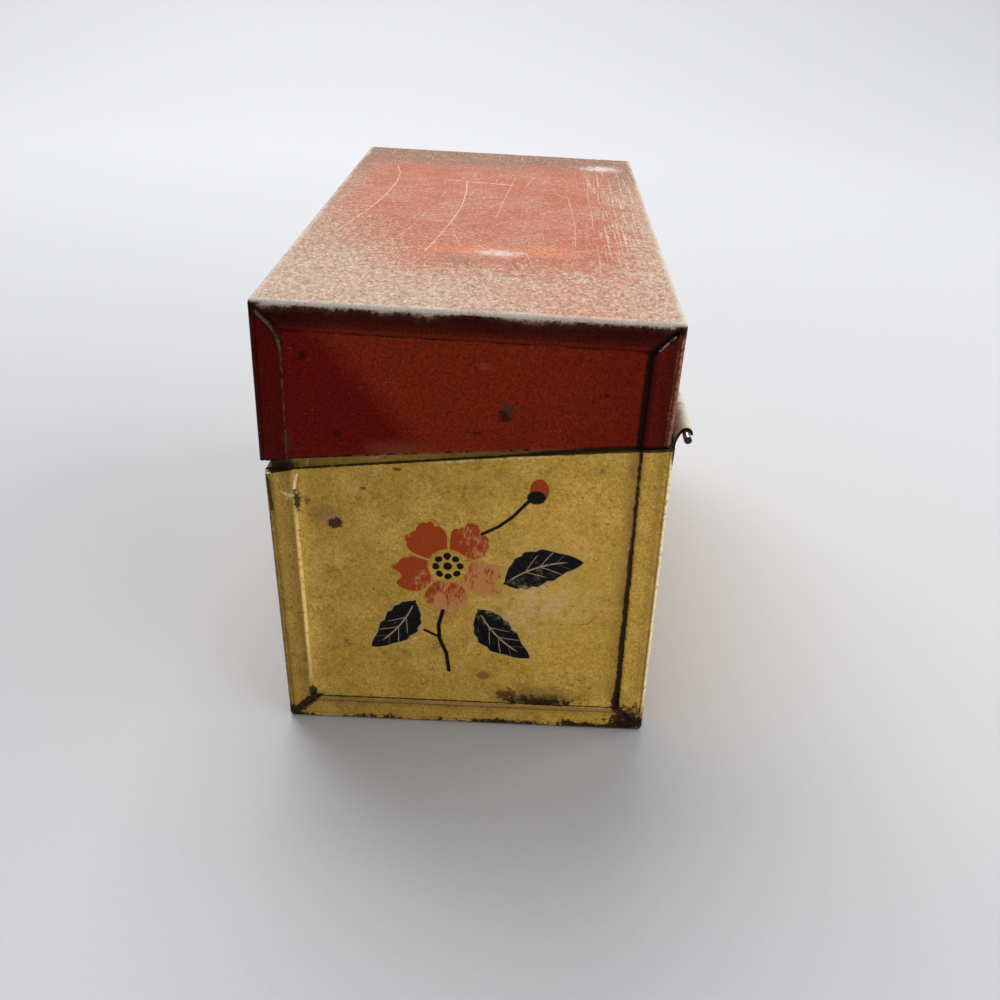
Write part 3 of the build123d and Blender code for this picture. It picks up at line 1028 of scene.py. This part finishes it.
    # specks, hairline scratches and the marks of its own
    pen.coat("brown", (pen.noise(1.3, 3, 0.6), 0.655, 0.71), 0.75)
    pen.coat("darkRust", (pen.noise(0.5, 5, 0.8), 0.735, 0.78), 0.85)
    pen.coat("brown", pen.nicks(sheet, 7, 5, 0.16, 0.3), (mottle, 0.35, 0.55), 0.5)
    pale = pen.nicks(pen.vector("ADD", sheet, (3, 1, 0)), 6, 3, 0.2, 0.3)
    pen.coat("ridge", pale, (mottle, 0.4, 0.6), 0.3)
    chips = pen.most(rusted, sootAndShade, worn)
    if printed:
        pen.drawSpots("panelSpots", sheet, tear, near)
        pen.drawLines("panelLines", sheet, pen.times(near, (mottle, 0.42, 0.52)))
        scuff = pen.spot(sheet, (14, 31), (11.5, 7.5), pen.sway(0, smudge, 4), 0.9)
        streaks = pen.noise(1, 4, 0.75, (0.5, 1.5, 1), place=sheet)
        pen.coat("cream", near, scuff, (streaks, 0.36, 0.64), 0.42)
    pen.drawSpots("flangeSpots", sheet, tear, near)
    pen.drawLines("flakes", sheet, near)

    rough = pen.scaled(chips, 0.3, pen.scaled(mottle, 0.22, 0.34))
    height = pen.scaled(rusted, -1, pen.times(grain, 0.3))
    return pen.finish(rough, pen.scaled(blotch, 0.3, height))


# Lid paint: brick red, rubbed chalky on the top and down to the tin along the folds, with painted light and
# shade
lidLook = {
    "red": (0.145, 0.008, 0.001),
    "redDeep": (0.11, 0.002, 0.0001),
    "redPaler": (0.18, 0.016, 0.003),
    "rubbedRed": (0.26, 0.075, 0.03),
    "orangeDark": (0.22, 0.046, 0.016),
    "orange": (0.52, 0.18, 0.09),
    "salmon": (0.385, 0.122, 0.07),
    "salmonPale": (0.42, 0.175, 0.115),
    "tan": (0.43, 0.295, 0.225),
    "tanMid": (0.35, 0.185, 0.13),
    "tanBack": (0.245, 0.13, 0.088),
    "cream": (0.62, 0.47, 0.36),
    "grey": (0.68, 0.6, 0.48),
    "metal": (0.66, 0.62, 0.57),
    "brown": (0.15, 0.085, 0.052),
    "umber": (0.05, 0.017, 0.009),
    "chip": (0.056, 0.027, 0.013),
    "olive": (0.2, 0.155, 0.11),
    "tanOlive": (0.41, 0.3, 0.185),
    # dirt, and the dark colour of painted shade in seams, gaps and mitres
    "dirt": (0.01, 0.0012, 0.0005),
    "brass": (0.115, 0.07, 0.038),
    "specular": 0.055,
    "relief": 0.09,
    # painted light and shade across the flanges left, right and along the top
    "leftTone": ((0, 0.55), (1.5, 0.7), (4, 0.62), (5, 0.5)),
    "rightTone": ((0, 0.6), (1.2, 0.4), (2.4, 0.56), (3.8, 0.74), (4.8, 0.4)),
    "edgeTone": ((1.4, 0.2), (3, 0.26), (4.1, 0.4), (4.7, 0.72), (5.2, 0.6)),
    # where the seams' lines lie, from the box's edge
    "darkSeamAt": 5.6,
    "paleAt": 5.12,
    "thinAt": 5.4,
    # how dark the rubbed lower rim is, across an end
    "lowDark": ((-37, 1), (-24, 0.8), (-14, 0.2), (14, 0.4), (24, 1)),
    # points, width, colour, strength
    "scratches": [
        (((-26.5, 44), (-24.8, 36), (-24.3, 26), (-25, 12), (-27.2, -5), (-30.5, -22.5)), 0.4, "cream", 0.8),
        (((-7.3, 30), (-6.6, 18), (-6.7, 4), (-7.9, -10), (-9.4, -22), (-11.2, -34)), 0.4, "cream", 0.8),
        (((-7.9, -10), (-6.4, -20), (-4.5, -29)), 0.28, "cream", 0.6),
        (((-15.5, -13), (-16.6, -20), (-18.6, -27), (-21.5, -33)), 0.3, "cream", 0.6),
        (((4.8, 38), (3.8, 26), (2.8, 14), (1.6, -4)), 0.3, "cream", 0.6),
        (((9.6, 39), (7.6, 28)), 0.34, "cream", 0.55),
        (((18.2, 12), (18.9, -8), (18.6, -24)), 0.3, "cream", 0.5),
        (((8.5, -31), (10, -40)), 0.3, "cream", 0.6),
    ],
    # shift, pitch, length, width, share of cells, slant
    "nicks": (
        ((0, 0, 0), 6, 9, 0.34, 0.5, pi),
        ((2, 5, 0), 3.4, 3.4, 0.34, 0.5, pi),
        ((7, 1, 0), 11, 22, 0.28, 0.5, 1.2),
    ),
    # centre, half size, raggedness, softness, colour, strength
    "smears": [
        ((15, -58), (24, 16), 1.6, 0.9, "salmonPale", 0.55),
        ((22, -66), (14, 3), 1.4, 0.9, "orange", 0.5),
        ((0, -31), (21, 5), 0.9, 0.9, "orange", 0.8),
        ((13.5, -29), (8, 6.5), 0.9, 0.9, "orange", 0.85),
    ],
    "stains": [
        ((-4, -38.6), (5.6, 3.6), 1.6, 0.9, "olive", 0.55),
        ((3.4, -32.6), (6.4, 3.6), 1.6, 0.9, "metal", 0.65),
        ((27.3, 54), (7, 5), 1.6, 0.9, "metal", 0.75),
    ],
    "endSpots": [
        ((7.1, 71.2), (1.5, 2.1), 1.3, 0.7, "chip", 0.85),
        ((6.7, 70), (1.6, 1.4), 1.8, 0.6, "dirt", 0.75),
        ((24, 75.2), (0.9, 0.5), 0.6, 0.7, "dirt", 0.7),
        ((-28.6, 79.4), (1.2, 1.2), 0.6, 0.8, "dirt", 0.7),
        ((-23, 64.6), (1.1, 1.4), 0.6, 0.8, "dirt", 0.55),
        ((1.8, 66.5), (1.4, 0.6), 0.6, 0.8, "dirt", 0.6),
        ((2.7, 79.2), (1.5, 1), 0.6, 0.8, "salmon", 0.2),
        ((-12, 62), (9, 3), 0.8, 0.9, "rubbedRed", 0.35),
        ((-32, 62.5), (1.2, 2.6), 1.8, 0.8, "chip", 0.6),
    ],
    "bead": ((-37.7, 88.3), (-35.6, 86.3), (-33.9, 84.6), (-32.8, 82.9), (-32.4, 81), (-32.3, 79)),
    "glint": ((34.4, 86.6), (32.1, 84)),
}


def paintLidTop(pen, x, y, blotch, mottle, grain):
    # chalky faded red in the middle, its lightness partly a painted sheen, a tan patina round it, and years
    # of scratches
    flat = pen.join(x, y, 0)
    tear = pen.sway(0, mottle, 1.2, grain, 1.2)
    flecks = pen.noise(1.3, 3, 0.8, (1, 0.6, 1), shift=(9, 3, 0))
    pen.colour = pen.mix((blotch, 0.38, 0.68), "salmon", "salmonPale")
    warpX = pen.sway(x, blotch, 18)
    warpY = pen.sway(y, blotch, 30)
    corner = pen.scaled(warpY, 0.42, warpX)
    patina = pen.most((warpY, -30, -60), (corner, -20, -46), (x, -27, -38), (warpX, 19, 36, 0, 0.85))
    patina = pen.most(patina, (warpY, 38, 60))
    share = pen.sway(patina, grain, 2.2, mottle, 1.3)
    tan = pen.mix((y, -50, -16), "tan", "tanMid")
    tan = pen.over(tan, "tan", (x, 18, 34), 0.55)
    tan = pen.over(tan, "tanOlive", (blotch, 0.6, 0.4), (mottle, 0.34, 0.66), 0.75)
    tan = pen.over(tan, "tanBack", (y, 16, 52))
    pen.coat(tan, (share, 0.12, 0.95), (patina, 0, 0.25))
    pen.drawSpots("smears", flat, tear, 1)
    pale = pen.times(pen.scaled(patina, 0.42, 0.22), (y, 50, -30, 0.45, 1))
    pen.coat("cream", (grain, 0.52, 0.61), pale)
    dark = pen.scaled(patina, 0.24, 0.32)
    pen.coat("brown", (grain, 0.47, 0.36), dark)
    pen.coat("umber", (flecks, 0.4, 0.32), dark, 0.8)
    pen.dim(pen.scaled(pen.noise(1.9, 2, 0.75, (1, 0.6, 1)), 1.9, 0.1))

    broken = pen.fade(mottle, 0.3, 0.55)
    pen.drawLines("scratches", flat, broken)
    dashes = pen.stroke(flat, ((-12, 30.4), (4.5, 28)), 0.75)
    pen.coat("cream", dashes, (pen.noise(0.8, 1), 0.42, 0.5))
    # lengthwise rubbing along the hinge side, and nicks all over
    along = pen.noise(1, 3, 0.7, (1.9, 0.04, 1))
    along = pen.times((along, 0.54, 0.62), (x, 19, 26), (x, 36, 33), (y, -52, -32), (y, 62, 48))
    pen.coat("cream", along, broken, 0.85)
    for shift, *nicks in lidLook["nicks"]:
        pen.coat("cream", pen.nicks(pen.vector("ADD", flat, shift), *nicks), broken, 0.55)
    pen.drawSpots("stains", flat, tear, 1)


def makeLidPaint():
    pen = NodePen("lidPaint", lidLook)
    x, y, z = pen.measureBox(lidShell["ajar"])
    reachY, aboveRim, facing, rightward = pen.measureEnds(x, y, z)
    reachX = pen.least(pen.minus(x, lidShell["front"]), pen.minus(lidShell["back"], x))
    reachX = pen.most(reachX, 0)
    reachZ = pen.most(pen.minus(box["top"], z), 0)
    ring = pen.least(reachX, reachZ)
    onEnd = pen.times((reachY, 2, 1), (reachZ, 0.2, 0.75))
    near = pen.times(onEnd, (y, 0, -1))
    sheet = pen.join(facing, z, 0)

    blotch = pen.noise(0.13, 4, 0.62)
    mottle = pen.noise(0.75, 4, 0.68)
    dust = pen.noise(1.9, 2, 0.8)
    fine = pen.noise(2.6, 3, 0.6)
    grain = pen.noise(1.15, 4, 0.85, (1, 0.66, 1))
    tear = pen.sway(0, mottle, 1.2, fine, 0.9)

    # sides: deep red, lighter on the ends to one side of a slanting line as a painted reflection, and in
    # random blotches elsewhere
    slant = pen.scaled(facing, 1.19, pen.minus(z, 50.8))
    sheenAndBlotch = pen.times((pen.sway(slant, mottle, 6), -3, 8), (facing, 34, 8, 0.45, 1))
    sheenAndBlotch = pen.blend(onEnd, pen.fade(blotch, 0.35, 0.65), sheenAndBlotch)
    pen.colour = pen.mix(sheenAndBlotch, "redDeep", "redPaler")
    pen.coat("red", (blotch, 0.45, 0.7), 0.5)
    pen.dim(pen.scaled(dust, 2.3, -0.15))
    pen.coat("tan", (pen.noise(2.6, 2, 0.6), 0.71, 0.76), 0.35)
    pen.rubSides("rubbedRed", onEnd, blotch, 0.45)
    flange = pen.fade(ring, lidShell["flange"] + 0.15, lidShell["flange"] - 0.05)
    pen.shadeFlanges(onEnd, rightward, reachX, reachZ, flange)

    # the folds are rubbed: the top's run out raggedly below; the upright ones carry a painted highlight over
    # the wear at the back and painted shade at the front
    lip = pen.sway(reachZ, blotch, 3.4, mottle, 1.8, grain, 1.6)
    below = pen.fade(reachZ, 0.3, 0.6)
    pen.coat("umber", below, (lip, 2.2, 1.3), 0.8)
    pen.coat("brown", below, (lip, 1.3, 0.9), 0.9)
    upright = pen.most(reachX, reachY)
    hot = pen.sway(upright, mottle, 1.6)
    hotTone = pen.mix((fine, 0.42, 0.62), "orangeDark", "tanMid")
    pen.coat(hotTone, (hot, 1.5, 0.3), (reachZ, 0.8, 2), (facing, 18, 30), 0.85)
    upright = pen.times((upright, 1.2, 0.4), (reachZ, 0.8, 1.6))
    pen.coat("dirt", upright, (facing, -20, -30), 0.6)
    pen.coat("tan", upright, (tear, 0.2, 0.4), 0.7)
    sides = pen.colour
    paintLidTop(pen, x, y, blotch, mottle, grain)
    onTop = pen.fade(pen.sway(reachZ, grain, 2.2, blotch, 1.2), 1.15, 0.7)
    pen.colour = pen.mix(onTop, sides, pen.colour)
    fromTop = pen.most(reachZ, pen.least(reachX, reachY))
    bare = pen.sway(fromTop, blotch, 2.4, mottle, 1.6, grain, 2.6)
    pen.coat(pen.mix((mottle, 0.42, 0.62), "metal", "grey"), onTop, (bare, 1.5, 0.2), 0.62)
    pen.coat("umber", onTop, (fromTop, 3, 0.4), (fine, 0.4, 0.3), 0.7)

    # seams: painted shade and soot on the right, a faint painted highlight line on the left, a thin painted
    # shade line above
    gap = pen.sway(pen.gap(reachX, lidLook["darkSeamAt"]), mottle, 0.5)
    sootAndShade = pen.times(onEnd, rightward, (reachZ, 4.9, 5.6), (gap, 0.85, 0.35))
    pen.coat("dirt", sootAndShade, 0.95)
    gap = pen.sway(pen.gap(reachX, lidLook["paleAt"]), mottle, 0.5)
    pale = pen.times(onEnd, pen.unless(rightward), (reachZ, 6, 7.5), (gap, 0.34, 0.1))
    pen.coat("tan", pale, (mottle, 0.4, 0.6), 0.1)
    gap = pen.sway(pen.gap(reachZ, lidLook["thinAt"]), mottle, 0.5)
    pen.coat("dirt", onEnd, (reachX, 5, 5.5), (gap, 0.26, 0.06), (blotch, 0.62, 0.45), 0.8)
    # mitres: a bead of bare brass-coloured edge on the left; on the right and at the top corners' tips,
    # black painted shade with dirt, and a painted highlight streak
    beadEnd = pen.times(onEnd, (z, 78.5, 82))
    wavy = pen.vector("ADD", sheet, pen.join(pen.sway(0, mottle, 0.5), pen.sway(0, fine, 0.5), 0))
    pen.coat("dirt", beadEnd, pen.stroke(wavy, lidLook["bead"], 1.7, 0.6), 0.9)
    beadTone = pen.mix((mottle, 0.42, 0.62), "brass", "umber")
    pen.coat(beadTone, beadEnd, pen.stroke(wavy, lidLook["bead"], 0.78, 0.7))
    darkMitre = pen.sway(pen.times(pen.gap(reachX, reachZ), 0.7), mottle, 0.9)
    darkMitre = pen.times(onEnd, rightward, (darkMitre, 0.95, 0.5), (ring, 6.1, 5.5))
    tip = pen.times(onEnd, (pen.plus(reachX, reachZ), 3.6, 2.2))
    pen.coat("dirt", pen.most(darkMitre, tip), 0.96)
    glint = pen.stroke(sheet, lidLook["glint"], 0.5, 0.7)
    pen.coat("tan", onEnd, glint, (fine, 0.38, 0.6), 0.8)

    # chips, smudges and the rubbed lower rim
    pen.drawSpots("endSpots", sheet, tear, near)
    lowTone = pen.mix((mottle, 0.4, 0.5), "dirt", "rubbedRed")
    lowTone = pen.over(lowTone, "dirt", pen.ramp(facing, "lowDark"))
    pen.coat(lowTone, (pen.sway(aboveRim, mottle, 0.5), 0.85, 0.5), (reachZ, 4, 8), 0.8)
    pen.coat("dirt", pen.pastCut(y), (x, 36.5, 36.9))

    rough = pen.scaled(onTop, 0.18, pen.scaled(mottle, 0.2, 0.36))
    height = pen.scaled(grain, 0.7, pen.times(dust, 0.3))
    return pen.finish(rough, pen.scaled(pen.most(sootAndShade, darkMitre), -1, height))


# Inside: bare tinplate with age spots, darker into the corners
tinLook = {
    "tin": (0.5, 0.49, 0.46),
    "bright": (0.7, 0.69, 0.66),
    "dull": (0.34, 0.31, 0.26),
    "amber": (0.3, 0.21, 0.11),
    "cream": (0.66, 0.59, 0.46),
    "rust": (0.12, 0.05, 0.018),
    "dirt": (0.01, 0.006, 0.004),
    "specular": 0.5,
    "relief": 0.06,
}


def makeTin():
    pen = NodePen("insideTin", tinLook)
    x, y, z = pen.measureBox()
    mottle = pen.noise(0.4, 5, 0.7)
    rolled = pen.noise(3, 3, 0.6, (1, 0.04, 1))
    pen.colour = pen.mix((pen.noise(0.05, 4, 0.6), 0.35, 0.65), "tin", "dull")
    pen.coat("amber", (mottle, 0.48, 0.75), 0.7)
    pen.coat("dull", (rolled, 0.45, 0.75), 0.35)
    pen.dim(pen.scaled(pen.noise(1.6, 4, 0.8), 1, 0.5))
    reachX = pen.minus(box["back"], pen.unsigned(x))
    reachY = pen.minus(box["end"], pen.unsigned(y))
    # cards have scratched its walls and floor
    onLong = pen.fade(reachX, 7, 6)
    upright = pen.most(onLong, (reachY, 3, 2))
    flat = pen.join(pen.blend(onLong, x, y), pen.blend(upright, y, z), 0)
    for pitch, length, width, tone in ((9, 14, 0.22, "bright"), (6, 4, 0.26, "rust")):
        nicks = pen.nicks(flat, pitch, length, width, 0.4)
        pen.coat(tone, nicks, (mottle, 0.4, 0.55), 0.6)
    corner = pen.sway(pen.middleOf(pen.most(reachX, 0), pen.most(reachY, 0), z), mottle, 9)
    rusted = pen.most(pen.times((corner, 2.6, 0.6), 0.8), (pen.noise(0.8, 4, 0.75), 0.64, 0.7))
    pen.coat("rust", rusted, 0.85)
    # the outer side of each rolled knuckle is this side of the sheet, painted and dirty
    knuckle = pen.fade(x, 36.5, 36.9)
    pen.coat(pen.mix((mottle, 0.5, 0.75), "cream", "amber"), knuckle)
    pen.coat("dirt", knuckle, pen.pastCut(y))
    dull = pen.most(rusted, knuckle)
    rough = pen.scaled(dull, 0.4, pen.scaled(mottle, 0.35, 0.2))
    return pen.finish(rough, pen.scaled(rolled, 0.4, rusted), pen.scaled(dull, -0.75, 0.8))


# Pin: steel wire, dark where it was cut
steelLook = {
    "steel": (0.62, 0.61, 0.6),
    "drawn": (0.38, 0.36, 0.34),
    "rust": (0.12, 0.05, 0.02),
    "cut": (0.012, 0.011, 0.012),
    "specular": 0.4,
    "relief": 0.02,
}


def makeSteel():
    pen = NodePen("pinSteel", steelLook)
    y = pen.measureBox()[1]
    drawn = pen.noise(6, 3, 0.6, (1, 0.1, 1))
    pen.colour = pen.mix((drawn, 0.4, 0.7), "steel", "drawn")
    rust = pen.fade(pen.noise(1.1, 4, 0.7), 0.58, 0.68)
    pen.coat("rust", rust, 0.7)
    middle = (pin["near"] + pin["far"]) / 2
    cut = pen.fade(pen.minus(pen.gap(y, middle), pin["far"] - middle), -0.16, -0.08)
    pen.coat("cut", cut)
    dull = pen.most(cut, rust)
    return pen.finish(pen.scaled(dull, 0.4, 0.28), drawn, pen.scaled(dull, -0.9, 1))


# Floor: pale matt paper, measured in metres
paperLook = {"pale": (0.5, 0.5, 0.51), "paler": (0.54, 0.54, 0.55), "specular": 0.2}


def makePaper():
    pen = NodePen("floorPaper", paperLook)
    pen.colour = pen.mix(pen.noise(900, 3, 0.6), "pale", "paler")
    return pen.finish(0.85)


# Stage: a pale sweep that rises far behind the box
sweep = {"near": -1.6, "flatTo": 0.55, "half": 2.4, "radius": 0.5, "top": 0.1, "steps": 24}


def makeStage():
    bm = bmesh.new()
    bmesh.ops.create_grid(bm, x_segments=1, y_segments=1, size=1)
    depth = sweep["flatTo"] - sweep["near"]
    bmesh.ops.scale(bm, vec=(sweep["half"], depth / 2, 1), verts=bm.verts)
    bmesh.ops.translate(bm, vec=(0, (sweep["flatTo"] + sweep["near"]) / 2, 0), verts=bm.verts)
    farEdge = [e for e in bm.edges if all(v.co.y > sweep["flatTo"] - 0.01 for v in e.verts)]
    centre = (0, sweep["flatTo"], sweep["radius"])
    last = rollOver(bm, farEdge, centre, 90, sweep["steps"], axis=(1, 0, 0))
    drawOut(bm, last, (0, 0, sweep["top"]))
    bmesh.ops.recalc_face_normals(bm, faces=bm.faces)
    mesh = bpy.data.meshes.new("floor")
    bm.to_mesh(mesh)
    bm.free()
    floor = bpy.data.objects.new("floor", mesh)
    bpy.context.scene.collection.objects.link(floor)
    mesh.materials.append(makePaper())
    mesh.shade_smooth()


# Light: a broad soft window above and behind, a paler one to the right, and a dim cool room
lamps = {
    "window": {"place": (-0.25, 0.75, 1.1), "size": 1.1, "watts": 22},
    "side": {"place": (0.9, 0.1, 0.5), "size": 0.8, "watts": 5},
    "fill": {"place": (0.62, -0.52, 0.3), "size": 0.4, "watts": 2.2},
}
room = {"aim": (0, 0, 0.05), "colour": (0.9, 0.94, 1), "strength": 0.3}


def makeLamps():
    for name, lamp in lamps.items():
        light = bpy.data.lights.new(name, "AREA")
        light.shape = "SQUARE"
        light.size = lamp["size"]
        light.energy = lamp["watts"]
        holder = bpy.data.objects.new(name, light)
        holder.location = lamp["place"]
        aim = Vector(room["aim"]) - Vector(lamp["place"])
        holder.rotation_euler = aim.to_track_quat("-Z", "Y").to_euler()
        bpy.context.scene.collection.objects.link(holder)
    world = bpy.data.worlds.new("room")
    bpy.context.scene.world = world
    world.use_nodes = True
    background = world.node_tree.nodes["Background"]
    background.inputs["Color"].default_value = (*room["colour"], 1)
    background.inputs["Strength"].default_value = room["strength"]


# Camera: place in millimetres, and the directions of the view's right and up
camera = {
    "place": (10.76, -227.05, 144.98),
    "right": (0.99897, 0.04033, 0.02083),
    "up": (-0.03805, 0.49399, 0.86863),
    "lens": 35.98,
    "sensor": 36,
    "clipStart": 0.01,
}


def makeCamera():
    lens = bpy.data.cameras.new("camera")
    lens.lens = camera["lens"]
    lens.sensor_width = camera["sensor"]
    lens.clip_start = camera["clipStart"]
    holder = bpy.data.objects.new("camera", lens)
    right = Vector(camera["right"]).normalized()
    back = right.cross(Vector(camera["up"])).normalized()
    up = back.cross(right)
    turn = Matrix((right, up, back)).transposed().to_4x4()
    holder.matrix_world = Matrix.Translation(Vector(camera["place"]) * mm) @ turn
    bpy.context.scene.collection.objects.link(holder)
    bpy.context.scene.camera = holder


bodyPaint = makeBodyPaint("bodyPaint", False)
bodyPrint = makeBodyPaint("bodyPrint", True)
lidPaint = makeLidPaint()
insidePaint = makeTin()
pinSteel = makeSteel()
print("paints mixed")

makeBodyShell()
makeLidShell()
makeEndPanel("bodyEndRight", "body", "body_end_right", bodyPrint, False)
makeEndPanel("bodyEndLeft", "body", "body_end_left", bodyPrint, True)
makeEndPanel("lidEndRight", "lid", "lid_end_right", lidPaint, False)
makeEndPanel("lidEndLeft", "lid", "lid_end_left", lidPaint, True)
makePin()
print("box folded")
makeStage()
makeLamps()
makeCamera()
bpy.context.scene.view_settings.view_transform = "Standard"
print("stage set")
